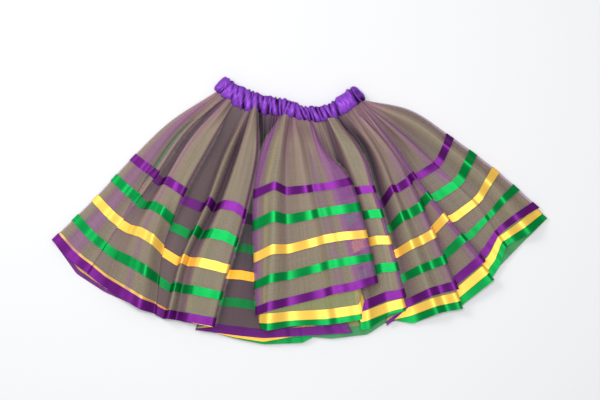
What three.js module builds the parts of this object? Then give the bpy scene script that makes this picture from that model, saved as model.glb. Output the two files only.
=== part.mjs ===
// A child's tutu laid flat on a table: three gathered organza skirts, purple over gold
// over green, satin ribbons on the purple one and on every hem, and a ruched waistband.
// Millimetres. +Z is up from the table, +Y points from the hem to the waist, and the
// origin is under the middle of the tutu, on the table.
import * as THREE from "three";

// ---- driving sizes -------------------------------------------------------------------
const wall = 1; // one thickness of organza
const gap = 0.3; // left between pieces that are sewn together
const air = 0.55; // left between one skirt and the next
const ribbonWidth = 9;
const ribbonWall = 1;
const bandHeight = 19.5; // waistband, top edge to seam
const bandWall = 4.6; // satin, elastic and satin, with their gathers
const bandBottom = 0; // the back of the waistband lies on the table
const bandInside = 1.8; // left open between the front and back of the waistband
const gatherPitch = 5.4; // one pucker of the waistband
const gatherDepth = 0.9;
const backRidge = 2; // the tallest fold on the back

// Distances down the cloth, from the waist seam.
const firstRibbon = 102;
const ribbonStep = 27.5;
const hemRibbon = firstRibbon + 4 * ribbonStep; // middle of the hem ribbon
const hemEdge = hemRibbon + ribbonWidth / 2;
const knee = firstRibbon - ribbonWidth / 2; // a fold bends above this and runs straight below
const nearWaist = [3 * gap, 14, 40, 68]; // the first clears the curve of the waistband
const ribbonTops = [0, 1, 2, 3].map((row) => knee + row * ribbonStep);
const ribbonEdges = ribbonTops.flatMap((top) => [top, top + ribbonWidth]);

// Heights of the undersides of the layers, where no fold lifts them.
const pitch = wall + air;
const backPurple = ribbonWall + gap;
const frontPurple = backPurple + 5 * pitch + backRidge;
const overBack = frontPurple - backPurple - pitch; // how far the front drops at a side

const colours = {
  purpleOrganza: 0x7a4a96,
  goldOrganza: 0xe0bc50,
  greenOrganza: 0x4c9a62,
  purpleSatin: 0x8c2fae,
  goldSatin: 0xf9cb45,
  greenSatin: 0x0aa552,
  waistSatin: 0x8f45d8,
};

// ---- outlines and folds --------------------------------------------------------------
// Middle line of the waistband, from its left end to its right end.
const bandLine = new THREE.SplineCurve(
  [
    [-78, 124],
    [-38, 107],
    [4, 98],
    [22, 99],
    [44, 111],
    [58, 122],
  ].map(([x, y]) => new THREE.Vector2(x, y)),
);

// A fold is a line from the waist seam to the hem. waist is its place along the seam,
// from 0 at the left to 1 at the right; x and y are where the first ribbon crosses it,
// and hemX and hemY where the hem ribbon does. rise and hemRise lift it there, and gold
// and green say how far those skirts reach below the purple hem.
const columns = ["waist", "x", "y", "hemX", "hemY", "rise", "hemRise", "gold", "green"];
const asFold = (row) => Object.fromEntries(columns.map((name, i) => [name, row[i]]));
const side = -overBack; // the outermost line of the front rests on the back
const goldSide = side + 2 * pitch; // here it clears the side of the gold skirt
const greenSide = goldSide + 2 * pitch; // and here that of the green one

const frontFolds = [
  [0.0, -168, 52, -244, -28, side, side, 0, 0],
  [0.03, -164, 48, -240, -33, goldSide, goldSide, 0, 0],
  [0.06, -159, 45, -235, -38, greenSide, greenSide, 0, 0],
  [0.08, -148, 38, -216, -55, 4, 3, 0, 0],
  [0.115, -132, 28, -182, -78, 5, 3, 0, 0],
  [0.15, -117, 18, -150, -95, 8, 4, 0, 0],
  [0.18, -108, 6, -142, -99, 0.5, 0, 0, 0],
  [0.25, -91, 8, -130, -101, 6, 4, 0, 0],
  [0.27, -84, -1, -121, -104, 1, 1, 0, 0],
  [0.29, -76, 6, -108, -107, 6, 5, 0, 0],
  [0.32, -57, -3, -87, -111, 8, 6, 0, 0],
  [0.35, -50, -9, -77, -119, 0, 0, 2, 4],
  [0.42, -40, 17, -38, -101, 7, 6, 10, 16],
  [0.47, -25, 26, -20, -94, 8, 7, 12, 20],
  [0.59, 12, 22, 25, -83, 8, 7, 18, 26],
  [0.66, 45, 29, 72, -75, 8, 6, 22, 30],
  [0.69, 54, 20, 81, -88, 1, 1, 14, 20],
  [0.76, 72, 22, 102, -82, 6, 5, 11, 17],
  [0.8, 82, 11, 112, -92, 0, 0, 11, 17],
  [0.86, 111, 30, 156, -74, 6, 4, 10, 19],
  [0.88, 119, 34, 168, -58, 1, 1, 10, 20],
  [0.9, 129, 40, 188, -40, 4, 3, 10, 20],
  [0.92, 138, 45, 198, -22, 0, 0, 10, 20],
  [0.935, 141, 55, 214, -12, 4, 3, 10, 20],
  [0.95, 145, 62, 229, -2, greenSide, greenSide, 10, 20],
  [0.975, 149, 67, 234, 1, goldSide, goldSide, 10, 20],
  [1.0, 153, 72, 238, 4, side, side, 10, 20],
].map(asFold);

const backFolds = [
  [0.0, -168, 52, -244, -28, 0, 0, 0, 0],
  [0.03, -164, 48, -240, -33, 0, 0, 0, 0],
  [0.06, -159, 45, -235, -38, 0, 0, 0, 0],
  [0.14, -138, 26, -202, -72, 2, 2, 0, 0],
  [0.22, -112, 12, -166, -92, 0, 0, 0, 0],
  [0.31, -76, -2, -112, -112, 2, 2, 2, 0],
  [0.4, -44, -9, -66, -121, 0, 0, 2, 2],
  [0.49, -8, -12, -12, -123, 0, 0, 0, 8],
  [0.59, 28, -8, 36, -120, 0, 0, 2, 2],
  [0.67, 60, 0, 86, -112, 2, 2, 4, 6],
  [0.76, 88, 10, 130, -96, 0, 0, 8, 12],
  [0.84, 112, 28, 172, -72, 2, 2, 8, 16],
  [0.91, 133, 47, 208, -40, 0, 0, 8, 18],
  [0.95, 145, 62, 229, -12, 0, 0, 8, 18],
  [0.975, 149, 67, 234, -4, 0, 0, 8, 18],
  [1.0, 153, 72, 238, 4, 0, 0, 10, 20],
].map(asFold);

const front = { folds: frontFolds, under: frontPurple, waistRise: -backRidge, inwards: -1 };
const back = { folds: backFolds, under: backPurple, waistRise: 0, inwards: 1 };

// ---- from the folds to points in space -----------------------------------------------
// The direction in which the skirt leaves the waistband, at a place along it.
function awayFromBand(share) {
  const along = bandLine.getTangentAt(share);
  return new THREE.Vector2(along.y, -along.x);
}

function seamPoint(share) {
  return bandLine.getPointAt(share).addScaledVector(awayFromBand(share), bandHeight / 2);
}

// Plan position of a fold at a distance down the cloth.
function foldPoint(fold, down) {
  const ribbon = new THREE.Vector2(fold.x, fold.y);
  const step = new THREE.Vector2(fold.hemX, fold.hemY)
    .sub(ribbon)
    .divideScalar(hemRibbon - firstRibbon);
  if (down >= knee) return ribbon.addScaledVector(step, down - firstRibbon);
  const end = ribbon.addScaledVector(step, knee - firstRibbon);
  const bend = end.clone().addScaledVector(step, -knee * 0.38);
  return new THREE.QuadraticBezierCurve(seamPoint(fold.waist), bend, end).getPoint(down / knee);
}

// How far a fold lifts the cloth. It grows from the seam to the knee, and on the back
// later than on the front, so that the two never meet.
function riseAt(panel, fold, down) {
  if (down > knee && panel === front) {
    const share = (down - knee) / (hemRibbon - knee);
    return THREE.MathUtils.lerp(fold.rise, fold.hemRise, share);
  }
  if (panel === back) return fold.rise * THREE.MathUtils.smoothstep(down, 30, 140);
  const start = fold.rise < 0 ? fold.rise : panel.waistRise;
  return THREE.MathUtils.lerp(start, fold.rise, THREE.MathUtils.smoothstep(down, 0, knee));
}

// Points of one face of a sheet: a line for each fold, a point for each distance down.
function sheetFace(panel, folds, distances, lift) {
  return folds.map((fold) =>
    distances(fold).map((down) => {
      const plan = foldPoint(fold, down);
      return new THREE.Vector3(plan.x, plan.y, panel.under + riseAt(panel, fold, down) + lift);
    }),
  );
}

// A closed body between two faces that have the same lines and points.
function bodyBetween(upper, lower) {
  const lines = upper.length;
  const points = upper[0].length;
  const position = [...upper.flat(), ...lower.flat()].flatMap((p) => [p.x, p.y, p.z]);
  const top = (i, j) => i * points + j;
  const bottom = (i, j) => lines * points + i * points + j;
  const index = [];
  const quad = (a, b, c, d) => index.push(a, b, c, a, c, d);
  for (let i = 0; i + 1 < lines; i++) {
    for (let j = 0; j + 1 < points; j++) {
      quad(top(i, j), top(i, j + 1), top(i + 1, j + 1), top(i + 1, j));
      quad(bottom(i, j), bottom(i + 1, j), bottom(i + 1, j + 1), bottom(i, j + 1));
    }
    quad(top(i, 0), top(i + 1, 0), bottom(i + 1, 0), bottom(i, 0));
    quad(top(i + 1, points - 1), top(i, points - 1), bottom(i, points - 1), bottom(i + 1, points - 1));
  }
  for (let j = 0; j + 1 < points; j++) {
    quad(top(0, j + 1), top(0, j), bottom(0, j), bottom(0, j + 1));
    quad(top(lines - 1, j), top(lines - 1, j + 1), bottom(lines - 1, j + 1), bottom(lines - 1, j));
  }
  const geometry = new THREE.BufferGeometry();
  geometry.setAttribute("position", new THREE.Float32BufferAttribute(position, 3));
  geometry.setIndex(index);
  geometry.computeVertexNormals();
  return geometry;
}

const tutu = new THREE.Group();
tutu.name = "tutu";

function addPiece(name, geometry, colour, roughness) {
  const material = new THREE.MeshStandardMaterial({ color: colour, roughness, metalness: 0 });
  material.side = THREE.DoubleSide;
  const mesh = new THREE.Mesh(geometry, material);
  mesh.name = name;
  tutu.add(mesh);
}

// ---- the three skirts and their hem ribbons ------------------------------------------
// layer counts inwards from the purple skirt. Each skirt is cut in from the sides of the
// one outside it by one fold line, and each lies one pitch further in.
function addSkirt(panel, word, layer, colourName, reach) {
  const folds = panel.folds.slice(layer, panel.folds.length - layer);
  const lift = panel.inwards * layer * pitch;
  const hem = (fold) => hemEdge + reach(fold);
  const clothEnd = (fold) => hem(fold) - ribbonWidth - gap;
  const cloth = (fold) =>
    layer === 0
      ? [...nearWaist, ...ribbonEdges, clothEnd(fold)]
      : [...nearWaist, ...ribbonTops, (ribbonTops[3] + clothEnd(fold)) / 2, clothEnd(fold)];
  const trim = (fold) => [hem(fold) - ribbonWidth, hem(fold)];
  const body = (distances) =>
    bodyBetween(sheetFace(panel, folds, distances, lift + wall), sheetFace(panel, folds, distances, lift));
  addPiece(`${colourName}_skirt_${word}`, body(cloth), colours[`${colourName}Organza`], 0.8);
  addPiece(`${colourName}_hem_${word}`, body(trim), colours[`${colourName}Satin`], 0.35);
}

// ---- the four ribbon rows on the purple skirt -----------------------------------------
function addRibbon(panel, word, name, row, colour) {
  const middle = firstRibbon + row * ribbonStep;
  const distances = () => [middle - ribbonWidth / 2, middle + ribbonWidth / 2];
  const low = panel === front ? wall + gap : -gap - ribbonWall;
  const upper = sheetFace(panel, panel.folds, distances, low + ribbonWall);
  const lower = sheetFace(panel, panel.folds, distances, low);
  addPiece(`${name}_${word}`, bodyBetween(upper, lower), colour, 0.35);
}

for (const [word, panel] of Object.entries({ front, back })) {
  addSkirt(panel, word, 0, "purple", () => 0);
  addSkirt(panel, word, 1, "gold", (fold) => fold.gold);
  addSkirt(panel, word, 2, "green", (fold) => fold.green);
  addRibbon(panel, word, "ribbon_purple", 0, colours.purpleSatin);
  addRibbon(panel, word, "ribbon_green_upper", 1, colours.greenSatin);
  addRibbon(panel, word, "ribbon_gold", 2, colours.goldSatin);
  addRibbon(panel, word, "ribbon_green_lower", 3, colours.greenSatin);
}

// ---- the waistband --------------------------------------------------------------------
// One ring, pressed flat: along the front, round the right end, along the back and round
// the left end. Each station of it is a four-cornered section across the wall.
function waistbandGeometry() {
  const along = Math.round(bandLine.getLength() / (gatherPitch / 2));
  const turnSteps = 6;
  const turn = (bandWall + bandInside) / 2; // radius of the middle of the wall at an end
  const middle = bandBottom + bandWall / 2 + turn;
  const stations = [];
  const station = (share, angle, pucker) => {
    const direction = bandLine.getTangentAt(share).multiplyScalar(share < 0.5 ? -1 : 1);
    stations.push({ share, direction, angle, wall: bandWall - pucker * gatherDepth });
  };
  for (let i = 0; i <= along; i++) station(i / along, Math.PI / 2, i % 2);
  for (let i = 1; i < turnSteps; i++) station(1, Math.PI / 2 - (Math.PI * i) / turnSteps, 0);
  for (let i = 0; i <= along; i++) station(1 - i / along, -Math.PI / 2, i % 2);
  for (let i = 1; i < turnSteps; i++) station(0, -Math.PI / 2 + (Math.PI * i) / turnSteps, 0);

  const corner = ({ share, direction, angle, wall: thick }, outwards, across) => {
    const reach = turn + (outwards * thick) / 2 - (1 - outwards) * 0.25 * (bandWall - thick);
    return new THREE.Vector3()
      .copy(bandLine.getPointAt(share).addScaledVector(direction, Math.cos(angle) * reach))
      .add(new THREE.Vector3().copy(awayFromBand(share).multiplyScalar((across * bandHeight) / 2)))
      .setZ(middle + Math.sin(angle) * reach);
  };
  const position = [];
  for (const s of stations) {
    for (const [outwards, across] of [[1, -1], [1, 1], [-1, 1], [-1, -1]]) {
      position.push(...corner(s, outwards, across));
    }
  }
  const index = [];
  for (let i = 0; i < stations.length; i++) {
    const next = (i + 1) % stations.length;
    for (let k = 0; k < 4; k++) {
      const [a, b] = [4 * i + k, 4 * i + ((k + 1) % 4)];
      const [c, d] = [4 * next + ((k + 1) % 4), 4 * next + k];
      index.push(a, b, c, a, c, d);
    }
  }
  const geometry = new THREE.BufferGeometry();
  geometry.setAttribute("position", new THREE.Float32BufferAttribute(position, 3));
  geometry.setIndex(index);
  geometry.computeVertexNormals();
  return geometry;
}
addPiece("waistband", waistbandGeometry(), colours.waistSatin, 0.4);

export default tutu;
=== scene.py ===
import math

import bpy
import numpy as np
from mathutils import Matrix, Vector


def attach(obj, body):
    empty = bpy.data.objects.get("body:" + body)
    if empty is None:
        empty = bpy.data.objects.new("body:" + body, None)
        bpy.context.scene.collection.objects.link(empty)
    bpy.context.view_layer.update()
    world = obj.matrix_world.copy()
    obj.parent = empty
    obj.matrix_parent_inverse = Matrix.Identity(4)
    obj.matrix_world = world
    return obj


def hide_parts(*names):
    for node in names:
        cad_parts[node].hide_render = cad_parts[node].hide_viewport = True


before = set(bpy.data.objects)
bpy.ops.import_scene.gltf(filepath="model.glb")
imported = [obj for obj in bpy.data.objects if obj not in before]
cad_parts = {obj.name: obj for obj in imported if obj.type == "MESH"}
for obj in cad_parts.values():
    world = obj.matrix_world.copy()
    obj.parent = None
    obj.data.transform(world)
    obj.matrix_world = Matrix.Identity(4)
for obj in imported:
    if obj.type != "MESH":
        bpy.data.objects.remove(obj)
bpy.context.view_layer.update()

mm = 0.001  # shapes are worked out in millimetres and written to the meshes in metres

layerNames = ("purple", "gold", "green")  # the skirts, from the outer one inwards

skirt = {
    "columns": 1.7,  # mm of hem between two columns of the mesh
    "measuredAt": (40, 102, 157, 212),  # mm down the cloth where the columns are counted
    "rows": 76,  # rows from the waist to the hem
    "crowding": 1.15,  # above 1 the rows lie closer together near the waist
    "top": 0.4,  # mm down the cloth of the first row
    "hem": 216.5,  # mm from the seam to the edge of the purple skirt
    "knots": (0, 51, 102, 157, 212),  # mm down the cloth of the seam and of a fold's four points
    "spacing": 0.8,  # mm between one skirt and the next
    "seamFront": 6.6,  # mm above the table of the front's seam
    "seamBack": 0.8,
    "seamSides": {-1: 0.15, 0: 0.5, 1: 0.85},  # share of the way up between them, at a side
    "tuckedIn": 2.2,  # mm by which the cloth runs up inside the waistband
    "opening": 48,  # mm down the cloth by which the folds have their full height
    "lowest": 0.5,  # mm above the table that the purple cloth keeps
    "lowestStep": 0.1,  # and how much more each inner skirt does
    "cutHeight": 220,  # mm, flat
    "cutShare": 0.78,  # of its rectangle, because it is cut narrower at the waist
}
knife = {
    "nose": 0.35,  # how round the edge of a knife fold is
    "opensOver": 55,  # mm of cloth over which a fold opens out
    "insetOver": (60, 110),  # mm down the cloth between which insetUp turns into inset
    "shadeOver": (100, 185),  # and shadeUp into shadeLow
    "insetShares": (0, 0.75, 1),  # of the inset that each skirt takes
    "room": 1,  # mm of a fold that an inset leaves
    "drop": 1.4,  # how steeply an inner skirt falls away from the fold that it stops short of
    "leastApart": 4,  # mm
    "mostDrop": 3,  # mm
    "dropAbove": 7,  # mm, and folds lower than this don't
}
ribbon = {"width": 9, "lift": 0.35, "rows": 6}
# Gathers and soft waves between the folds: how many go round, and how high they are.
gather = {
    "waist": {"count": 96, "high": 0.75},
    "middle": {"count": 58, "high": 0.55},
    "hem": {"count": 31, "high": 0.4},
    "ripple": {"count": 74, "high": 0.22},
    "waistFades": 34,  # mm down the cloth
    "middleAt": 45,
    "hemFrom": (30, 150),
    "warp": 1.6,  # how uneven their spacing is
}

# A fold is a line from the seam to the hem: its share of the seam, then its place half
# way to the first ribbon, at the first ribbon, at the third and at the hem ribbon. before
# is its height on the cloth before it and after on the cloth behind it: where they
# differ, the cloth turns back under itself. gold and green say how far those skirts
# reach below the purple one. inset is how far they stop short of a knife fold at the
# hem and insetUp near the seam, and opens the distance down at which the fold has
# opened out, with 0 for never. The shades are painted shade: how deep in shadow the
# cloth there is painted, near the seam and near the hem.
foldColumns = ("share", "midX", "midY", "firstX", "firstY", "thirdX", "thirdY",
               "hemX", "hemY", "before", "after", "gold", "green", "inset", "insetUp",
               "opens", "shadeUp", "shadeLow")
frontFolds = [
    (0, -130, 89, -168, 53, -206, 12, -246, -27, 0.5, 4, -2.5, -3.5, 1.5, 1, 0, 0.05, 0.05),
    (0.015, -124, 85, -158, 45, -194, -1, -232, -43, 5.6, 5.6, -2.5, -3.5, 0, 0, 0, 0.1, 0.05),
    (0.03, -120, 83, -152, 41, -188, -7, -222, -52, 5, 5, -2.5, -3.5, 0, 0, 0, 0.25, 0.12),
    (0.06, -114, 78, -144, 35, -180, -13, -212, -59, 11.1, 6, -2.5, -3.5, 2, 2, 140, 0, 0.05),
    (0.065, -120, 80, -152, 37, -182, -13, -210, -61, 6, 5.4, -2.5, -3.5, 0, 0, 140, 0.75, 0.2),
    (0.072, -110, 74, -140, 28, -172, -19, -198, -71, 5.6, 5.6, -2.5, -3.5, 0, 0, 0, 0.6, 0.2),
    (0.085, -108, 73, -134, 30, -160, -22, -178, -83, 10.8, 10.8, -2.5, -3.5, 0, 0, 0, 0.05, 0.05),
    (0.1, -102, 67, -126, 25, -148, -29, -160, -94, 12.1, 12.1, -2.5, -3.5, 0, 0, 0, 0, 0.05),
    (0.125, -92, 62, -116, 18, -138, -40, -146, -99, 13.2, 5.9, -2, -3, 2, 2, 150, 0, 0.25),
    (0.13, -98, 63, -128, 13, -138, -42, -144, -101, 5.9, 5.3, -2, -3, 0, 0, 150, 0.85, 0.5),
    (0.145, -88, 60, -112, 8, -130, -47, -140, -103, 5.3, 5.3, -2, -3, 0, 0, 0, 0.62, 0.5),
    (0.205, -78, 57, -98, 2, -122, -52, -136, -105, 5.3, 5.3, -2, -3, 0, 0, 0, 0.72, 0.5),
    (0.235, -74, 56, -92, 10, -118, -48, -132, -104, 12.5, 12.5, 0, 0, 0, 0, 0, 0, 0),
    (0.243, -66, 53, -86, 1, -112, -52, -124, -106, 5.8, 5.8, 0, -2, 0, 0, 0, 0.8, 0.3),
    (0.252, -62, 54, -78, 6, -102, -52, -114, -107, 12.8, 12.8, 0, -2, 0, 0, 0, 0.05, 0),
    (0.265, -54, 53, -66, 4, -84, -56, -98, -110, 12.8, 12.8, 0.5, -1, 0, 0, 0, 0.05, 0),
    (0.28, -46, 53, -60, 0, -78, -58, -92, -111, 13.2, 13.2, 0.5, -1, 0, 0, 0, 0.25, 0.08),
    (0.295, -44, 53, -56, -4, -72, -59, -86, -112, 13.2, 5.9, 1, -1, 2, 2, 0, 0.35, 0.08),
    (0.3, -50, 52, -64, -8, -84, -64, -104, -116, 5.9, 5.3, -2, -3, 0, 0, 0, 0.95, 0.7),
    (0.315, -40, 60, -52, -9, -60, -65, -66, -121, 5.3, 5.3, 2, 3, 0, 0, 0, 0.9, 0.8),
    (0.37, -34, 60, -44, -11, -44, -68, -38, -124, 5.3, 5.3, 3.5, 6, 0, 0, 0, 0.8, 0.75),
    (0.415, -26, 60, -20, -12, -10, -68, 0, -122, 5.4, 5.4, -1, 7, 0, 0, 0, 0.6, 0.6),
    (0.435, -16, 60, 0, -12, 22, -68, 50, -119, 5.3, 6, -13, -15, 0, 0, 0, 0.4, 0.45),
    (0.44, -38, 60, -46, 16, -46, -48, -44, -101, 6.2, 15, 8, 14, 4, 8, 0, 0, 0.05),
    (0.47, -20, 62, -26, 25, -28, -39, -32, -96, 19.7, 19.7, 12, 19, 0, 0, 0, 0, 0),
    (0.505, -14, 60, -14, 19, -12, -39, -10, -91, 14.6, 14.6, 16, 22, 0, 0, 0, 0.16, 0.08),
    (0.525, 0, 60, 6, 21, 14, -32, 22, -83, 19.1, 19.1, 23, 29.5, 0, 0, 0, 0, 0),
    (0.54, 6, 60, 12, 22, 24, -29, 32, -80, 17.1, 17.1, 25, 31.5, 0, 0, 0, 0.25, 0.1),
    (0.625, 16, 60, 28, 24, 42, -26, 54, -76, 17.1, 17.1, 26, 32, 0, 0, 0, 0.1, 0.05),
    (0.635, 24, 60, 50, 29, 66, -24, 76, -69, 14.6, 7.6, 24, 31, 24, 5, 0, 0, 0),
    (0.65, 18, 58, 28, 7, 40, -45, 50, -74, 6.4, 5.4, 8, 14, 0, 0, 0, 0.1, 0.1),
    (0.69, 30, 60, 44, 15, 55, -38, 59, -98, 5.2, 5.2, 9, 16, 0, 0, 0, 0.05, 0.05),
    (0.74, 36, 55, 48, 17, 62, -34, 66, -95, 4.9, 4.9, 10, 18, 0, 0, 0, 0.8, 0.15),
    (0.75, 44, 60, 60, 20, 76, -30, 86, -86, 12.5, 12.5, 11, 13.5, 0, 0, 0, 0, 0),
    (0.78, 56, 58, 68, 21, 84, -30, 94, -85, 13.2, 13.2, 10, 13, 0, 0, 0, 0.1, 0.05),
    (0.805, 62, 55, 74, 21, 90, -30, 104, -83, 13.2, 6, 9, 12.5, 4, 3, 0, 0.2, 0.05),
    (0.81, 56, 53, 66, 11, 80, -46, 86, -111, 6, 5.3, -4, -6, 0, 0, 0, 0.9, 0.6),
    (0.82, 66, 60, 82, 6, 96, -44, 108, -93, 5.3, 5.3, 10, 19, 0, 0, 0, 0.85, 0.35),
    (0.9, 76, 59, 92, 22, 112, -34, 130, -82, 12.1, 12.1, 12, 20, 0, 0, 0, 0.1, 0),
    (0.905, 80, 60, 96, 21, 120, -31, 138, -80, 9, 9, 12, 20, 0, 0, 0, 0.15, 0.05),
    (0.92, 88, 65, 110, 30, 134, -23, 156, -75, 12.5, 6, 12, 20, 4, 2, 0, 0, 0),
    (0.925, 82, 63, 104, 27, 128, -26, 148, -77, 6, 5.3, 12, 20, 0, 0, 0, 0.35, 0.25),
    (0.975, 92, 67, 114, 35, 146, -6, 182, -48, 12.1, 6, 11, 20, 6, 3, 0, 0.1, 0.1),
    (0.978, 88, 64, 108, 30, 140, -12, 174, -54, 6, 5.3, 11, 20, 0, 0, 0, 0.35, 0.25),
    (0.982, 98, 68, 118, 34, 154, -8, 186, -41, 5.5, 5.5, 11, 20, 0, 0, 0, 0.2, 0.15),
    (0.99, 104, 75, 136, 45, 174, 7, 196, -24, 12.5, 6.2, 10, 20, 2, 2, 115, 0, 0.1),
    (0.992, 100, 72, 132, 42, 176, 9, 198, -22, 6.2, 5.4, 11, 20, 0, 0, 115, 0.35, 0.2),
    (0.994, 108, 77, 140, 50, 180, 13, 202, -18, 5.5, 5.5, 13, 22, 0, 0, 0, 0.2, 0.1),
    (0.997, 112, 89, 146, 64, 188, 28, 216, -7, 11.5, 11.5, 12, 22, 0, 0, 0, 0, 0),
    (1, 110, 100, 150, 74, 196, 40, 236, 5, 4, 0.5, 7, 14, 3, 2, 0, 0.1, 0.05),
]
backFolds = [
    (0.94, 98, 92, 134, 58, 176, 16, 212, -26, 0.5, 0.5, 2, 8, 0, 0, 0, 0.2, 0.1),
    (0.88, 84, 84, 120, 40, 156, -12, 184, -57, 2, 2, 0, 7, 0, 0, 0, 0.2, 0.1),
    (0.82, 72, 74, 102, 24, 130, -33, 152, -82, 0.5, 0.5, 0, 7, 0, 0, 0, 0.3, 0.1),
    (0.74, 54, 64, 78, 10, 96, -48, 108, -103, 2.2, 2.2, -2, -4, 0, 0, 0, 0.3, 0.1),
    (0.7, 46, 61, 66, 7, 80, -52, 90, -108, 2.2, 2.2, -2, -3, 0, 0, 0, 0.3, 0.1),
    (0.66, 36, 58, 50, 4, 58, -56, 66, -113, 0.5, 0.5, -1, 7, 0, 0, 0, 0.3, 0.1),
    (0.58, 16, 54, 22, -2, 26, -60, 30, -118, 2, 2, -1, 6, 0, 0, 0, 0.3, 0.1),
    (0.5, -4, 52, -4, -6, -4, -62, -2, -117, 0.5, 0.5, -1, 5, 0, 0, 0, 0.3, 0.1),
    (0.42, -24, 52, -30, -7, -36, -63, -42, -118, 2, 2, -1, 2, 0, 0, 0, 0.3, 0.1),
    (0.34, -40, 54, -56, -3, -68, -60, -78, -115, 0.5, 0.5, -2, -3, 0, 0, 0, 0.3, 0.1),
    (0.26, -58, 58, -82, 2, -100, -54, -116, -108, 2, 2, -2, -3, 0, 0, 0, 0.3, 0.1),
    (0.18, -78, 66, -108, 12, -132, -40, -154, -96, 0.5, 0.5, -2, -4, 0, 0, 0, 0.2, 0.1),
    (0.11, -96, 74, -132, 24, -162, -24, -194, -78, 1.8, 1.8, -3, -5, 0, 0, 0, 0.2, 0.1),
    (0.05, -114, 82, -152, 38, -186, -8, -222, -60, 0.5, 0.5, -4, -6, 0, 0, 0, 0.2, 0.1),
]
folds = [dict(zip(foldColumns, row)) for row in frontFolds + backFolds]
sides = (0, len(frontFolds) - 1)  # the folds at the two side edges
isFront = np.arange(len(folds)) < len(frontFolds)

# Upper and lower edge of the waistband, from its left end to its right one.
bandUpper = [(-72.5, 132), (-62, 125.5), (-51, 120.5), (-36, 115.5), (-22, 112.5), (-8, 109.8),
             (3, 104), (14, 104.5), (27, 106), (36, 112), (44, 118.5), (50, 122.5)]
bandLower = [(-84, 118), (-73.5, 109.5), (-60, 101), (-46, 97), (-31, 95), (-17, 93.5),
             (-2, 91), (12, 88.5), (24, 88), (36, 92), (50, 100), (63, 109)]
# Where cloth laps over the waistband: the share of the seam and by how many mm.
laps = {0.085: 1.5, 0.1: 3, 0.252: 4, 0.265: 8.5, 0.28: 5, 0.47: 3, 0.75: 3.5, 0.78: 1.5}
lapLift = {"share": 0.75, "step": 2.2}  # mm that a lap is lifted, for each mm and at once


def smoothstep(low, high, x):
    t = np.clip((np.asarray(x, float) - low) / (high - low), 0, 1)
    return t * t * (3 - 2 * t)


# Smooth curve through values at knots, straight past the last one.
def alongKnots(knots, values, at):
    knots = np.asarray(knots, float)
    tangent = np.gradient(values, knots, axis=0)
    at = np.asarray(at, float)
    k = np.clip(np.searchsorted(knots, at, side="right") - 1, 0, len(knots) - 2)
    shape = (-1,) + (1,) * (values.ndim - 1)
    width = knots[k + 1] - knots[k]
    t = ((at - knots[k]) / width).reshape(shape)
    width = width.reshape(shape)
    inside = np.minimum(t, 1)
    past = np.maximum(t - 1, 0)
    return (
        (2 * inside**3 - 3 * inside**2 + 1) * values[k]
        + (inside**3 - 2 * inside**2 + inside) * width * tangent[k]
        + (-2 * inside**3 + 3 * inside**2) * values[k + 1]
        + (inside**3 - inside**2) * width * tangent[k + 1]
        + past * width * tangent[k + 1]
    )


# Points at shares of the length of a smooth curve through a few points.
def throughPoints(points, share):
    points = np.array(points, float)
    steps = np.r_[0, np.cumsum(np.linalg.norm(np.diff(points, axis=0), axis=1))]
    return alongKnots(steps / steps[-1], points, np.asarray(share, float))


# How far the cloth at each fold laps over the waistband's lower edge.
def lapHeights():
    front = [laps.get(fold["share"], 0) for fold in folds[:len(frontFolds)]]
    return np.array(front + [0] * len(backFolds), float)


# Place of each fold on the table at each distance down the cloth: rows, folds, 2.
def foldPlan(down):
    shares = np.array([fold["share"] for fold in folds])
    seam = throughPoints(bandLower, shares)
    inwards = throughPoints(bandUpper, shares) - seam
    inwards /= np.linalg.norm(inwards, axis=1, keepdims=True)
    levels = [seam + inwards * np.maximum(lapHeights(), skirt["tuckedIn"])[:, None]]
    for name in ("mid", "first", "third", "hem"):
        levels.append(np.array([[fold[name + "X"], fold[name + "Y"]] for fold in folds], float))
    return alongKnots(skirt["knots"], np.array(levels), down)


# The lines that a skirt's section runs through, a knife fold as three of them. Each is
# the fold's number, the line's height, the way its cloth faces, from 1 for up to -1 for
# down, whether it is the nose of the fold, and whether it is part of a knife fold.
def controlLines():
    lines = []
    face = 1
    for i, fold in enumerate(folds):
        before, after = fold["before"], fold["after"]
        if before == after:
            lines.append((i, before, face, False, False))
            continue
        if i == 0:
            face = -1  # the left side starts on the back
        lines.append((i, before, face, False, True))
        lines.append((i, (before + after) / 2, 0, True, True))
        lines.append((i, after, -face, False, True))
        face = -face
    return lines


# Distance down each fold, rows by folds, and its place on the table there.
def foldPlaces(layer, distances):
    reach = [fold[layerNames[layer]] if layer else 0 for fold in folds]
    hem = skirt["hem"]
    downs = np.asarray(distances, float)[:, None] * (hem + np.array(reach, float)) / hem
    plans = [foldPlan(downs[:, i])[:, i] for i in range(len(folds))]
    return downs, np.stack(plans, axis=1)


# How far a skirt stops short of a fold.
def innerInset(layer, fold, down, opened, length):
    lower = smoothstep(*knife["insetOver"], down)
    inset = fold["insetUp"] + (fold["inset"] - fold["insetUp"]) * lower
    inset = inset * knife["insetShares"][layer] * (1 - opened)
    return np.minimum(inset, np.maximum(length - knife["room"], 0))


# How much lower it lies there for that.
def innerDrop(i, plans, shift):
    fold = folds[i]
    beside = (i + 1) % len(folds) if fold["after"] > fold["before"] else i - 1
    foot = min(folds[beside]["before"], folds[beside]["after"])
    rise = max(fold["before"], fold["after"], foot) - foot
    apart = np.linalg.norm(plans[:, i] - plans[:, beside], axis=1)
    drop = knife["drop"] * rise * shift / np.maximum(apart, knife["leastApart"])
    return np.minimum(drop, knife["mostDrop"])


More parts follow.
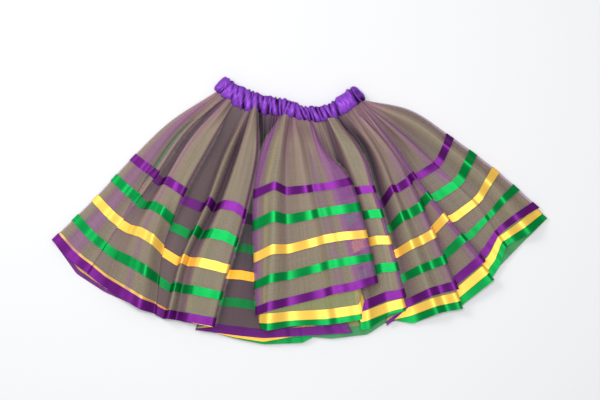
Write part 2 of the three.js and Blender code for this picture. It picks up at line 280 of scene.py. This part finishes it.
# Place, height and shade of a skirt's control lines at the given distances down.
def skirtSurface(layer, distances):
    downs, plans = foldPlaces(layer, distances)
    lines = controlLines()
    lap = lapHeights()
    liftedSeam = skirt["seamFront"] + lap * lapLift["share"] + lapLift["step"] * (lap > 0)
    seams = np.where(isFront, liftedSeam, skirt["seamBack"])
    surface = np.empty((len(downs), len(lines), 4))
    for j, (i, height, face, isNose, isKnife) in enumerate(lines):
        fold = folds[i]
        down = downs[:, i]
        isSide = i in sides
        full = smoothstep(0, skirt["opening"], down)
        opened = np.zeros(len(down))
        if fold["opens"]:
            opened = smoothstep(fold["opens"] - knife["opensOver"], fold["opens"], down)

        outwards = plans[:, i] - (plans[:, i - 1] + plans[:, (i + 1) % len(folds)]) / 2
        length = np.linalg.norm(outwards, axis=1)
        outwards = outwards / np.maximum(length, 1e-6)[:, None]
        shift = innerInset(layer, fold, down, opened, length)
        shift = shift * (full**0.5 if isSide else full)
        thick = abs(fold["after"] - fold["before"]) / 2 * (1 - opened)
        stand = isNose * knife["nose"] * thick * full
        surface[:, j, :2] = plans[:, i] + outwards * (stand - shift)[:, None]

        seam = seams[i]
        seamFace = 1 if isFront[i] else -1
        drop = 0
        if isSide:
            share = skirt["seamSides"][face]
            seam = skirt["seamBack"] + (skirt["seamFront"] - skirt["seamBack"]) * share
            seamFace = face
        elif isKnife:
            drop = innerDrop(i, plans, shift)
        level = height + (min(fold["before"], fold["after"]) - height) * opened
        level = level - drop * (level > knife["dropAbove"])
        side = seamFace + (face - seamFace) * full
        if isFront[i] and not isSide:
            side = side + (1 - side) * opened
        surface[:, j, 2] = seam + (level - seam) * full - side * skirt["spacing"] * layer

        near = smoothstep(*knife["shadeOver"], down)
        surface[:, j, 3] = fold["shadeUp"] + (fold["shadeLow"] - fold["shadeUp"]) * near
    return surface, lines, downs


# How many columns each stretch between two control lines gets.
def columnCounts():
    surface = skirtSurface(0, skirt["measuredAt"])[0]
    steps = (np.roll(surface, -1, axis=1) - surface)[..., :2]
    widest = np.linalg.norm(steps, axis=2).max(axis=0)
    return np.maximum(2, np.round(widest / skirt["columns"]).astype(int))


counts = columnCounts()
segment = np.repeat(np.arange(len(counts)), counts)  # the stretch that each column is in
fraction = np.concatenate([np.arange(n) / n for n in counts])  # and how far along it
hemLine = skirtSurface(0, [skirt["knots"][-1]])[0][0, :, :3]
hemSteps = np.linalg.norm(np.roll(hemLine, -1, axis=0) - hemLine, axis=1)
clothStart = np.r_[0, np.cumsum(hemSteps)]
around = clothStart[-1]  # mm round the hem, along the cloth
cloth = clothStart[segment] + fraction * hemSteps[segment]
print("columns", int(counts.sum()), "hem round", round(around))


# An uneven wave round the cloth, from -1 to 1.
def wave(count, seed):
    draw = np.random.default_rng(seed)
    turn = 2 * math.pi
    t = cloth / around * turn
    phase = 0
    for k in (3, 5, 8, 13, 21):
        phase = phase + draw.uniform(0.3, 1) * np.sin(k * t + draw.uniform(0, 6.28))
    size = 0.62 + 0.38 * np.sin(t * round(count * 0.23) + draw.uniform(0, 6.28))
    return np.sin(count * t + gather["warp"] * phase) * size


# Height of the gathers and of the soft waves between the main folds.
def fineFolds(downs):
    middle = (downs - gather["middleAt"]) / gather["middleAt"]
    low = smoothstep(*gather["hemFrom"], downs)
    strengths = {
        "waist": np.exp(-downs / gather["waistFades"]),
        "middle": np.exp(-(middle**2)),
        "hem": low,
        "ripple": low,
    }
    out = 0
    for seed, (name, strength) in enumerate(strengths.items(), start=1):
        out = out + gather[name]["high"] * strength * wave(gather[name]["count"], seed)
    return out


def smoothRound(points, times):
    for _ in range(times):
        points = (np.roll(points, 1, axis=1) + 2 * points + np.roll(points, -1, axis=1)) / 4
    return points


# Points of a skirt, rows by columns, with their distance down the cloth and their shade.
def skirtPoints(layer, distances):
    surface, lines, downs = skirtSurface(layer, distances)
    a = surface[:, segment]
    b = np.roll(surface, -1, axis=1)[:, segment]
    t = fraction[None, :, None]
    points = a + (b - a) * t
    ease = (1 - np.cos(math.pi * t)) / 2
    points[..., 2] = (a + (b - a) * ease)[..., 2]
    points = smoothRound(points, 2)
    points, shade = points[..., :3], points[..., 3]
    foldOf = np.array([line[0] for line in lines])
    downA = downs[:, foldOf[segment]]
    downB = downs[:, np.roll(foldOf, -1)[segment]]
    down = downA + (downB - downA) * fraction[None, :]
    loose = 0.25 + 0.75 * smoothstep(0.6, 3, points[..., 2])  # cloth near the table lies flatter
    points[..., 2] += fineFolds(down) * loose
    points[..., 2] = np.maximum(points[..., 2], skirt["lowest"] + skirt["lowestStep"] * layer)
    return points, down, shade


def gridNormals(points):
    across = np.roll(points, -1, axis=1) - np.roll(points, 1, axis=1)
    down = np.gradient(points, axis=0)
    normal = np.cross(down, across)
    return normal / np.maximum(np.linalg.norm(normal, axis=2, keepdims=True), 1e-9)


# A smooth mesh from its points in mm, quads as point numbers, and the cloth's own
# coordinates in mm at each corner, which become its UV map.
def clothObject(name, points, quads, cornerUv):
    mesh = bpy.data.meshes.new(name)
    mesh.from_pydata((points.reshape(-1, 3) * mm).tolist(), [], quads.tolist())
    mesh.shade_smooth()
    corners = np.empty(len(mesh.loops), int)
    mesh.loops.foreach_get("vertex_index", corners)
    uvMap = mesh.uv_layers.new(name="cloth")
    uvMap.data.foreach_set("uv", (cornerUv(corners) * mm).reshape(-1))
    obj = bpy.data.objects.new(name, mesh)
    bpy.context.scene.collection.objects.link(obj)
    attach(obj, "root")
    return obj


def setAttribute(obj, name, values):
    attribute = obj.data.attributes.new(name, "FLOAT", "POINT")
    attribute.data.foreach_set("value", values.reshape(-1))


# A tube of cloth round the garment from rows of points.
def clothTube(name, points, down):
    rows, columns = points.shape[:2]
    index = np.arange(rows * columns).reshape(rows, columns)
    following = np.roll(index, -1, axis=1)
    quads = np.stack([index[:-1], index[1:], following[1:], following[:-1]], axis=2).reshape(-1, 4)

    def cornerUv(corners):
        u = np.broadcast_to(cloth, (rows, columns)).reshape(-1)[corners].reshape(-1, 4)
        wraps = (u.max(axis=1) - u.min(axis=1)) > around / 2
        u[wraps] = np.where(u[wraps] < around / 2, u[wraps] + around, u[wraps])
        return np.stack([u.reshape(-1), down.reshape(-1)[corners]], axis=1)

    return clothObject(name, points, quads, cornerUv)


bunching = {"most": 6, "share": 0.45, "rounds": 4}


# Attribute layersDeep: how many times closer together the cloth lies than it does when
# spread flat, and the layers that a tuck adds.
def setLayersDeep(obj, points, tucked):
    across = np.linalg.norm(np.roll(points, -1, axis=1) - np.roll(points, 1, axis=1), axis=2) / 2
    spread = np.gradient(cloth)
    spread[0] = spread[-1] = np.median(spread)
    deep = np.clip(spread[None, :] / np.maximum(across, 0.05), 1, bunching["most"])
    deep = smoothRound(deep[..., None], bunching["rounds"])[..., 0]
    setAttribute(obj, "layersDeep", deep * bunching["share"] + (1 - bunching["share"]) + tucked)


# Painted shade is how deep a point lies among the folds round it, painted darker the
# deeper it lies. It is measured on a grid of the heights of the topmost cloth.
grid = {"step": 1, "low": np.array([-290.0, -180.0]), "size": (580, 360)}  # mm
paintedShade = {
    "least": -0.02,
    "around": 0.045,  # for each mm that the cloth lies below the heights round it
    # painted shadow cast from the side of the window light
    "beside": 0.03,  # and below those towards the window
    "window": (-2, 1),  # mm
    "steep": 0.32,
    "shade": 0.9,
    "covered": 0.3,  # instead of all that, where other cloth lies on it
    "coveredFrom": (2.6, 4.2),  # mm above it over which that sets in
    "blurs": {"around": 7, "beside": 2, "covered": 0.8},  # mm
}


def blurred(field, sigma):
    reach = int(sigma * 3)
    kernel = np.exp(-0.5 * (np.arange(-reach, reach + 1) / sigma) ** 2)
    kernel /= kernel.sum()
    for axis in (0, 1):
        field = np.apply_along_axis(lambda line: np.convolve(line, kernel, "same"), axis, field)
    return field


def heightField(points):
    field = np.zeros(grid["size"])
    flat = points.reshape(-1, 3)
    for shift in ((0, 0), (0.5, 0), (0, 0.5), (0.5, 0.5), (1, 0), (0, 1)):
        cell = ((flat[:, :2] + shift - grid["low"]) / grid["step"]).astype(int)
        np.maximum.at(field, (cell[:, 0], cell[:, 1]), flat[:, 2])
    return field


def sampled(field, x, y):
    low, size, step = grid["low"], grid["size"], grid["step"]
    i = np.clip(((x - low[0]) / step).astype(int), 0, size[0] - 1)
    j = np.clip(((y - low[1]) / step).astype(int), 0, size[1] - 1)
    return field[i, j]


# Attribute paintedShade: painted shade, 0 on a crest, towards 1 in a hollow, on a steep slope or under
# a fold.
def setPaintedShade(obj, points, shade):
    x, y, z = points[..., 0], points[..., 1], points[..., 2]
    windowX, windowY = paintedShade["window"]
    around = sampled(heights["around"], x, y) - z
    beside = sampled(heights["beside"], x + windowX, y + windowY) - z
    steep = 1 - np.abs(gridNormals(points)[..., 2])
    value = paintedShade["least"] + around * paintedShade["around"] + beside * paintedShade["beside"]
    value = np.clip(value + steep * paintedShade["steep"] + shade * paintedShade["shade"], 0, 1)
    covered = smoothstep(*paintedShade["coveredFrom"], sampled(heights["covered"], x, y) - z)
    value = value + (paintedShade["covered"] - value) * covered
    setAttribute(obj, "paintedShade", smoothRound(value[..., None], 1)[..., 0])


class Nodes:
    def __init__(self, tree):
        self.tree = tree

    def put(self, socket, value):
        if isinstance(value, bpy.types.NodeSocket):
            self.tree.links.new(value, socket)
        else:
            socket.default_value = value

    # Inputs go by name, with _ for a space, or by number, as i0 and i1.
    def add(self, kind, settings=None, **inputs):
        node = self.tree.nodes.new(kind)
        for key, value in (settings or {}).items():
            setattr(node, key, value)
        for key, value in inputs.items():
            byNumber = key[0] == "i" and key[1:].isdigit()
            self.put(node.inputs[int(key[1:]) if byNumber else key.replace("_", " ")], value)
        return node

    def math(self, operation, a, b):
        return self.add("ShaderNodeMath", {"operation": operation}, i0=a, i1=b).outputs[0]

    def mixColour(self, factor, a, b):
        node = self.tree.nodes.new("ShaderNodeMix")
        node.data_type = "RGBA"
        for number, value in ((0, factor), (6, a), (7, b)):
            self.put(node.inputs[number], value)
        return node.outputs[2]

    def noise(self, look, shift=(0, 0, 0)):
        uv = self.add("ShaderNodeTexCoord").outputs["UV"]
        at = self.add("ShaderNodeMapping", i0=uv, i1=shift, i3=look["scale"]).outputs[0]
        noise = self.add("ShaderNodeTexNoise", i0=at, Scale=1, Detail=look["detail"],
                         Roughness=look["rough"])
        return noise.outputs[0]

    def attribute(self, name):
        return self.add("ShaderNodeAttribute", {"attribute_name": name}).outputs["Fac"]


def newMaterial(name):
    material = bpy.data.materials.new(name)
    material.use_nodes = True
    material.node_tree.nodes.clear()
    return material, Nodes(material.node_tree)


def linear(r, g, b):
    def one(c):
        c /= 255
        return c / 12.92 if c <= 0.04045 else ((c + 0.055) / 1.055) ** 2.4
    return (one(r), one(g), one(b), 1)


# Organza of each colour: on its threads, where they catch the light and its painted shade deep in a
# fold, the share of what is behind one layer that it covers, and where its streaks lie.
organza = {
    "purple": {"colour": (142, 60, 146), "light": (192, 132, 190), "deep": (50, 42, 46),
               "cover": 0.145, "shift": (0, 0, 0)},
    "gold": {"colour": (198, 172, 94), "light": (210, 198, 150), "deep": (52, 46, 40),
             "cover": 0.38, "shift": (3, 1, 0)},
    "green": {"colour": (82, 154, 106), "light": (126, 172, 134), "deep": (46, 46, 42),
              "cover": 0.46, "shift": (7, 5, 0)},
}
# Its weave: streaks along the threads, slubs across them and broad bands, each with its
# repeats in a metre round and down the cloth and its share of the whole.
organzaWeave = {
    "streak": {"scale": (420, 9, 1), "detail": 3, "rough": 0.6, "share": 0.6},
    "slub": {"scale": (16, 500, 1), "detail": 2, "rough": 0.5, "share": 0.25},
    "broad": {"scale": (110, 5, 1), "detail": 2, "rough": 0.5, "share": 0.7},
    "open": 0.28,  # taken off the sum of the three
    "coverInShade": 0.3,  # how much more the cloth covers where its painted shade lies
    "coverLeast": 0.68,  # share of the cover where the weave is open
    "coverWeave": 0.7,  # and how much more where it is close
    "bump": 0.25,
    "thread": 0.0002,  # metres
    "rough": 0.42,
    "specular": 0.22,
    "sheen": 0.25,
    "sheenRough": 0.4,
    "translucent": 0.15,
}


# Sheer crisp cloth, which covers more where it is bunched, with painted shade in its hollows and under
# its folds, where it also covers more.
def organzaMaterial(name, look):
    material, n = newMaterial(name)
    w = organzaWeave
    streak = n.math("MULTIPLY", n.noise(w["streak"]), w["streak"]["share"])
    slub = n.math("MULTIPLY", n.noise(w["slub"]), w["slub"]["share"])
    broad = n.math("MULTIPLY", n.noise(w["broad"], look["shift"]), w["broad"]["share"])
    weave = n.math("ADD", n.math("ADD", streak, slub), broad)
    weave = n.math("MAXIMUM", n.math("SUBTRACT", weave, w["open"]), 0)
    shadeMask = n.attribute("paintedShade")
    colour = n.mixColour(weave, linear(*look["colour"]), linear(*look["light"]))
    # Painted shade: the colour turns to the deep colour where the shade attribute is high.
    colour = n.mixColour(shadeMask, colour, linear(*look["deep"]))
    through = n.math("POWER", 1 - look["cover"], n.attribute("layersDeep"))
    cover = n.math("SUBTRACT", 1, through)
    cover = n.math("ADD", cover, n.math("MULTIPLY", shadeMask, w["coverInShade"]))
    closeness = n.math("ADD", w["coverLeast"], n.math("MULTIPLY", weave, w["coverWeave"]))
    cover = n.math("MINIMUM", n.math("MULTIPLY", cover, closeness), 1)
    bump = n.add("ShaderNodeBump", Strength=w["bump"], Distance=w["thread"], Height=weave).outputs[0]
    threads = n.add("ShaderNodeBsdfPrincipled", Base_Color=colour, Roughness=w["rough"], Normal=bump,
                    Specular_IOR_Level=w["specular"], Sheen_Weight=w["sheen"],
                    Sheen_Roughness=w["sheenRough"])
    glow = n.add("ShaderNodeBsdfTranslucent", Color=colour, Normal=bump)
    clear = n.add("ShaderNodeBsdfTransparent")
    lit = n.add("ShaderNodeMixShader", i0=w["translucent"], i1=threads.outputs[0], i2=glow.outputs[0])
    sheer = n.add("ShaderNodeMixShader", i0=cover, i1=clear.outputs[0], i2=lit.outputs[0])
    n.add("ShaderNodeOutputMaterial", Surface=sheer.outputs[0])
    return material


# Satin of each colour: its threads one way and the other, the painted shade in its hollows, and its
# shine.
satin = {
    "purpleSatin": {"mid": (86, 18, 100), "light": (106, 30, 122), "shadeColour": (10, 0, 12),
                    "metal": 0.5, "rough": 0.36},
    "goldSatin": {"mid": (238, 184, 56), "light": (246, 208, 104), "shadeColour": (228, 126, 4),
                  "metal": 0.3, "rough": 0.38},
    "greenSatin": {"mid": (0, 122, 54), "light": (0, 146, 66), "shadeColour": (0, 34, 14),
                   "metal": 0.5, "rough": 0.36},
    "waistSatin": {"mid": (112, 46, 160), "light": (144, 78, 198), "shadeColour": (22, 0, 46),
                   "metal": 0.3, "rough": 0.4},
}
satinWeave = {
    "thread": {"scale": (60, 900, 1), "detail": 2, "rough": 0.5},
    "bump": 0.2,
    "depth": 0.0002,  # metres
    "specular": 0.1,
}


# Satin: a close weave with a soft shine, with painted shade in its hollows.
def satinMaterial(name, look):
    material, n = newMaterial(name)
    w = satinWeave
    thread = n.noise(w["thread"])
    colour = n.mixColour(thread, linear(*look["mid"]), linear(*look["light"]))
    # Painted shade: darker where the shade attribute is high.
    colour = n.mixColour(n.attribute("paintedShade"), colour, linear(*look["shadeColour"]))
    bump = n.add("ShaderNodeBump", Strength=w["bump"], Distance=w["depth"], Height=thread).outputs[0]
    shader = n.add("ShaderNodeBsdfPrincipled", Base_Color=colour, Roughness=look["rough"],
                   Normal=bump, Metallic=look["metal"], Specular_IOR_Level=w["specular"])
    n.add("ShaderNodeOutputMaterial", Surface=shader.outputs[0])
    return material


materials = {name: organzaMaterial(name + "Organza", look) for name, look in organza.items()}
materials.update({name: satinMaterial(name, look) for name, look in satin.items()})


def finishPiece(obj, material, slot, *nodes):
    obj.data.materials.append(material)
    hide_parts(*nodes)


# Stretches of a skirt that are tucked double: a first and a last share of the seam, the
# distances down between which the tuck is there, and how many layers it adds. Shares
# past 1 would be on the back.
tuckColumns = ("from", "to", "top", "bottom", "layers")
tucks = {
    "purple": [(0.625, 0.635, 0, 216, 3.6), (0.436, 0.452, 5, 216, 2.4), (0.007, 0.024, 20, 216, 2.8),
               (0.792, 0.808, 60, 216, 2.2), (0.962, 0.977, 40, 216, 1.8), (0.085, 0.09, 15, 216, 1.4),
               (0.987, 0.991, 8, 120, 2.2), (0.55, 0.589, 60, 216, 1), (0.911, 0.919, 60, 216, 1.4),
               (0.245, 0.249, 100, 216, 1.2), (0.125, 0.128, 20, 90, 1.4)],
    "gold": [(0.452, 0.46, 30, 216, 0.7), (0.528, 0.536, 80, 216, 0.5),
             (0.25, 0.253, 60, 216, 0.4), (0.77, 0.777, 80, 216, 0.4)],
    "green": [(0.466, 0.478, 60, 216, 0.3), (0.996, 0.998, 25, 110, 0.3)],
}
tuckFade = {"share": 0.15, "above": (8, 2), "below": (2, 8)}  # share of its width, and mm

foldShares = np.array([fold["share"] for fold in folds])
foldShares[len(frontFolds):] = 2 - foldShares[len(frontFolds):]
lineShares = np.array([foldShares[line[0]] for line in controlLines()])
nextShares = np.r_[lineShares[1:], 2]
columnShare = lineShares[segment] + (nextShares - lineShares)[segment] * fraction


def tuckedLayers(down, rows):
    at = columnShare[None, :] + 0 * down
    above, below = tuckFade["above"], tuckFade["below"]
    out = np.zeros(down.shape)
    for row in rows:
        tuck = dict(zip(tuckColumns, row))
        edge = (tuck["to"] - tuck["from"]) * tuckFade["share"]
        inside = smoothstep(tuck["from"] - edge, tuck["from"] + edge, at)
        inside = inside * (1 - smoothstep(tuck["to"] - edge, tuck["to"] + edge, at))
        inside = inside * smoothstep(tuck["top"] - above[0], tuck["top"] + above[1], down)
        inside = inside * (1 - smoothstep(tuck["bottom"] - below[0], tuck["bottom"] + below[1], down))
        out = np.maximum(out, inside * tuck["layers"])
    return out


def distancesDown(shares):
    return skirt["top"] + shares * (skirt["hem"] - skirt["top"])


topHeight = heightField(skirtPoints(0, distancesDown(np.linspace(0, 1, 240)))[0])
heights = {name: blurred(topHeight, sigma) for name, sigma in paintedShade["blurs"].items()}

for layer, name in enumerate(layerNames):
    distances = distancesDown(np.linspace(0, 1, skirt["rows"]) ** skirt["crowding"])
    points, down, shade = skirtPoints(layer, distances)
    obj = clothTube(name + "Skirt", points, down)
    setLayersDeep(obj, points, tuckedLayers(down, tucks[name]))
    setPaintedShade(obj, points, shade)
    finishPiece(obj, materials[name], name + "_organza", name + "_skirt_front", name + "_skirt_back")
print("skirts made")


# A ribbon is a strip of its skirt, lifted off it.
def sewRibbon(name, layer, start, end, colour, node):
    points, down, shade = skirtPoints(layer, np.linspace(start, end, ribbon["rows"]))
    points = points + gridNormals(points) * ribbon["lift"]
    obj = clothTube(name, points, down)
    setPaintedShade(obj, points, shade)
    finishPiece(obj, materials[colour + "Satin"], colour + "_satin", node + "_front", node + "_back")
    ribbonsOn[layerNames[layer]].append(obj)


# The rows on the purple skirt: piece, mm from the seam to its middle, colour and nodes.
ribbonRows = [
    ("ribbonPurple", 102, "purple", "ribbon_purple"),
    ("ribbonGreenUpper", 129.5, "green", "ribbon_green_upper"),
    ("ribbonGold", 157, "gold", "ribbon_gold"),
    ("ribbonGreenLower", 184.5, "green", "ribbon_green_lower"),
]
ribbonsOn = {name: [] for name in layerNames}
half = ribbon["width"] / 2
for name, middle, colour, node in ribbonRows:
    sewRibbon(name, 0, middle - half, middle + half, colour, node)
for layer, name in enumerate(layerNames):
    sewRibbon(name + "Hem", layer, skirt["hem"] - ribbon["width"], skirt["hem"], name, name + "_hem")
print("ribbons made")

band = {
    "length": 184,  # mm, as it lies
    "wall": 3.6,
    "inside": 1.2,  # mm between its front and its back
    "clear": 0.4,  # mm above the table
    "lowest": (0.1, 0.05),  # mm above it that every point keeps, and how much more round the wall
    "perMm": 1.5,  # stations in a mm
    "sections": 36,  # points round the wall
    "turnSteps": 14,  # stations round each end
    "flatFaces": 0.75,  # how square the wall's section is across the band
    "flatEdges": 0.6,  # and through it
    "puff": 1.3,  # mm by which its middle is fuller
    "wavyEdge": 0.8,
    "pulledEdge": 0.9,  # mm that the edges are drawn in for each mm of crease
    "insideShare": 0.3,  # of a crease that shows inside
    "height": 20,  # mm from its upper edge to its lower one
    "overEdge": 1.1,  # how much longer the satin is there, over the edges
    "shadeFrom": 0.5,  # mm of crease from which it gets painted shade
    "shade": 0.75,  # and how much for each mm more
    # painted shade near its upper and lower edges
    "edgeShade": 0.2,
    "dents": (0.28, 0.2, 0.16),  # mm, the short ones, the long ones and the fine ones
}
# Creases of the waistband: where one meets the upper edge and the lower edge, as shares
# of the length, then its depth in mm and its width in mm.
creaseColumns = ("upper", "lower", "deep", "wide")
frontCreases = [
    (0.03, 0, 0.45, 0.8), (0.04, 0.015, 0.5, 0.8), (0.06, 0.115, 0.6, 0.9), (0.095, 0.165, 0.35, 0.8),
    (0.145, 0.205, 1.5, 1.2), (0.2, 0.26, 0.8, 0.9), (0.215, 0.255, 0.5, 0.6), (0.255, 0.305, 1.5, 1.5),
    (0.295, 0.315, 0.8, 0.8), (0.335, 0.36, 1.3, 1.3), (0.355, 0.39, 0.7, 0.7), (0.4, 0.425, 1.5, 1.4),
    (0.435, 0.45, 0.8, 0.8), (0.48, 0.45, 1.1, 0.9), (0.505, 0.475, 0.7, 0.8), (0.545, 0.53, 0.9, 0.8),
    (0.565, 0.6, 1.2, 1), (0.605, 0.625, 0.9, 0.8), (0.64, 0.645, 1.2, 0.9), (0.665, 0.66, 0.8, 0.7),
    (0.69, 0.7, 1.2, 1), (0.715, 0.73, 1, 0.8), (0.755, 0.76, 1.1, 0.9), (0.8, 0.775, 0.8, 0.8),
    (0.84, 0.825, 1.3, 1), (0.99, 0.975, 1.8, 1.4), (1, 1, 0.6, 0.8),
]
# The back has similar ones in the other order, a little closer together.
backOnes = {"closer": 0.97, "upper": 0.013, "lower": 0.01}
backCreases = [
    (1 - lower * backOnes["closer"] - backOnes["upper"],
     1 - upper * backOnes["closer"] - backOnes["lower"], deep, wide)
    for upper, lower, deep, wide in frontCreases
]
crease = {
    "strength": 1.3,
    "width": 1.25,
    "sharpness": 1.3,
    "wobble": 0.002,  # of the length
    "fade": (0.6, 0.8),  # its depth half way across, and how much it changes across
    "furrow": 0.9,  # mm that the satin sinks beside a crease
    "furrowWidth": 2.2,
}


def creaseDepth(share, across, rows):
    deepest = 0
    nearest = np.inf
    for row in rows:
        line = dict(zip(creaseColumns, row))
        at = line["upper"] + (line["lower"] - line["upper"]) * across
        wobble = crease["wobble"] * np.sin(across * 5 + line["upper"] * 90)
        distance = np.abs(share - at - wobble) * band["length"]
        lean = 1 if math.sin(line["upper"] * 60) > -0.5 else -1
        fade = crease["fade"][0] + crease["fade"][1] * (across - 0.5) * lean
        profile = np.exp(-((distance / line["wide"] / crease["width"]) ** crease["sharpness"]))
        deepest = np.maximum(deepest, line["deep"] * crease["strength"] * profile * fade)
        nearest = np.minimum(nearest, distance)
    return deepest + crease["furrow"] * np.exp(-nearest / crease["furrowWidth"])


# Small uneven dents between the creases, in mm.
def crumple(x, y):
    short, long, fine = band["dents"]
    dents = short * np.sin(x * 1.9 + 1.3 * np.sin(y * 0.31 + x * 0.13)) * np.sin(y * 0.42 + x * 0.21)
    dents = dents + long * np.sin(x * 0.83 + y * 0.24 + 2 * np.sin(x * 0.11))
    return dents + fine * np.sin(x * 3.1 - y * 0.5)


# Stations round the ring, along its front, round its right end, along its back and
# round its left end: the share of the length, and the angle of the wall there.
def bandStations(shareLine):
    quarter = math.pi / 2
    turning = [math.pi * k / band["turnSteps"] for k in range(1, band["turnSteps"])]
    stations = [(share, quarter) for share in shareLine]
    stations += [(1, quarter - angle) for angle in turning]
    stations += [(share, -quarter) for share in shareLine[::-1]]
    stations += [(0, angle - quarter) for angle in turning]
    return np.array(stations).T


def unit(vectors):
    return vectors / np.linalg.norm(vectors, axis=1, keepdims=True)


# Points of the waistband, stations by sections, with the painted shade of each, darker deep in a crease
# and near its edges.
def bandPoints():
    shareLine = np.linspace(0, 1, int(band["length"] * band["perMm"]) + 1)
    share, angle = bandStations(shareLine)
    upper = throughPoints(bandUpper, share)
    lower = throughPoints(bandLower, share)
    along = unit(np.gradient(throughPoints(np.add(bandUpper, bandLower), shareLine), axis=0))
    along = np.stack([np.interp(share, shareLine, along[:, k]) for k in (0, 1)], axis=1)
    outwards = along * np.where(share > 0.5, 1, -1)[:, None] * np.cos(angle)[:, None]
    down = unit(lower - upper)
    turn = (band["wall"] + band["inside"]) / 2
    middleZ = band["wall"] / 2 + turn + band["clear"]
    wavy = band["wavyEdge"] * np.sin(share * 121 + 3 * np.sin(share * 31))

    section = np.linspace(0, 2 * math.pi, band["sections"], endpoint=False)
    across = 0.5 - 0.5 * np.sign(np.cos(section)) * np.abs(np.cos(section)) ** band["flatFaces"]
    through = np.sign(np.sin(section)) * np.abs(np.sin(section)) ** band["flatEdges"]
    points = np.empty((len(share), len(section), 3))
    paintedShades = np.empty((len(share), len(section)))
    for k, (w, out) in enumerate(zip(across, through)):
        fromMiddle = w - 0.5
        nearEdge = abs(fromMiddle) * 2
        onFront = creaseDepth(share, w, frontCreases)
        deep = np.where(angle > 0, onFront, creaseDepth(share, w, backCreases))
        deep = deep * np.abs(np.sin(angle)) + crumple(share * band["length"], w * band["height"])
        puff = band["puff"] * np.sin(math.pi * w) ** 0.5
        sunk = deep if out > 0 else deep * band["insideShare"]
        r = turn + out * (band["wall"] / 2 + puff) - sunk * abs(out)
        push = fromMiddle * (2 * wavy * nearEdge**4 - band["pulledEdge"] * onFront)
        points[:, k, :2] = upper + (lower - upper) * w + outwards * r[:, None] + down * push[:, None]
        lowest = band["lowest"][0] + band["lowest"][1] * k / len(section)
        points[:, k, 2] = np.maximum(middleZ + np.sin(angle) * r, lowest)
        # Painted shade: darker deep in a crease and near the upper and lower edges.
        shade = (deep - band["shadeFrom"]) * band["shade"] + band["edgeShade"] * nearEdge**6
        paintedShades[:, k] = np.clip(shade, 0, 1)
    satinHeight = band["height"] * band["overEdge"]
    uv = np.stack(np.meshgrid(share * band["length"], across * satinHeight, indexing="ij"), axis=2)
    return points, paintedShades, uv


def makeBand():
    points, paintedShades, uv = bandPoints()
    rows, columns = points.shape[:2]
    index = np.arange(rows * columns).reshape(rows, columns)
    below = np.roll(index, -1, axis=0)
    quads = [index, below, np.roll(below, -1, axis=1), np.roll(index, -1, axis=1)]
    quads = np.stack(quads, axis=2).reshape(-1, 4)
    obj = clothObject("waistbandRuched", points, quads, lambda corners: uv.reshape(-1, 2)[corners])
    setAttribute(obj, "paintedShade", paintedShades)
    finishPiece(obj, materials["waistSatin"], "waist_satin", "waistband")


makeBand()
print("waistband made")

table = {"size": 3.2, "height": -0.0003, "colour": (233, 233, 234), "rough": 0.9}  # metres
bpy.ops.object.select_all(action="DESELECT")
bpy.ops.mesh.primitive_plane_add(size=table["size"], location=(0, 0, table["height"]))
floor = bpy.context.object
floor.name = "tableTop"
floor.data.name = "tableTop"
paint, paintNodes = newMaterial("tableWhite")
shader = paintNodes.add("ShaderNodeBsdfPrincipled", Base_Color=linear(*table["colour"]),
                        Roughness=table["rough"])
paintNodes.add("ShaderNodeOutputMaterial", Surface=shader.outputs[0])
floor.data.materials.append(paint)

room = {"colour": (0.96, 0.97, 1.0, 1), "strength": 0.4}
world = bpy.data.worlds.new("room")
bpy.context.scene.world = world
world.use_nodes = True
world.node_tree.nodes["Background"].inputs["Color"].default_value = room["colour"]
world.node_tree.nodes["Background"].inputs["Strength"].default_value = room["strength"]

# Each light looks at the origin, with its place and size in metres and its power in watts.
lights = {
    "windowLight": {"place": (-0.9, 0.6, 0.9), "size": 0.5, "power": 6},
    "topLight": {"place": (0, 0.1, 1.5), "size": 0.6, "power": 14.5},
}
for name, look in lights.items():
    bpy.ops.object.light_add(type="AREA", location=look["place"])
    light = bpy.context.object
    light.name = name
    light.data.size = look["size"]
    light.data.energy = look["power"]
    light.rotation_euler = (-Vector(look["place"])).to_track_quat("-Z", "Y").to_euler()

# The camera looks straight down.
view = {"place": (-0.0005, 0.01, 2.512), "lens": 150, "sensor": 36, "far": 20}
bpy.ops.object.camera_add(location=view["place"], rotation=(0, 0, 0))
camera = bpy.context.object
camera.name = "camera"
camera.data.lens = view["lens"]
camera.data.sensor_width = view["sensor"]
camera.data.clip_end = view["far"]
bpy.context.scene.camera = camera
bpy.context.scene.view_settings.view_transform = "Standard"
bpy.context.scene.cycles.transparent_max_bounces = 96  # three sheer skirts, folded over and over
print("table, lights and camera placed")
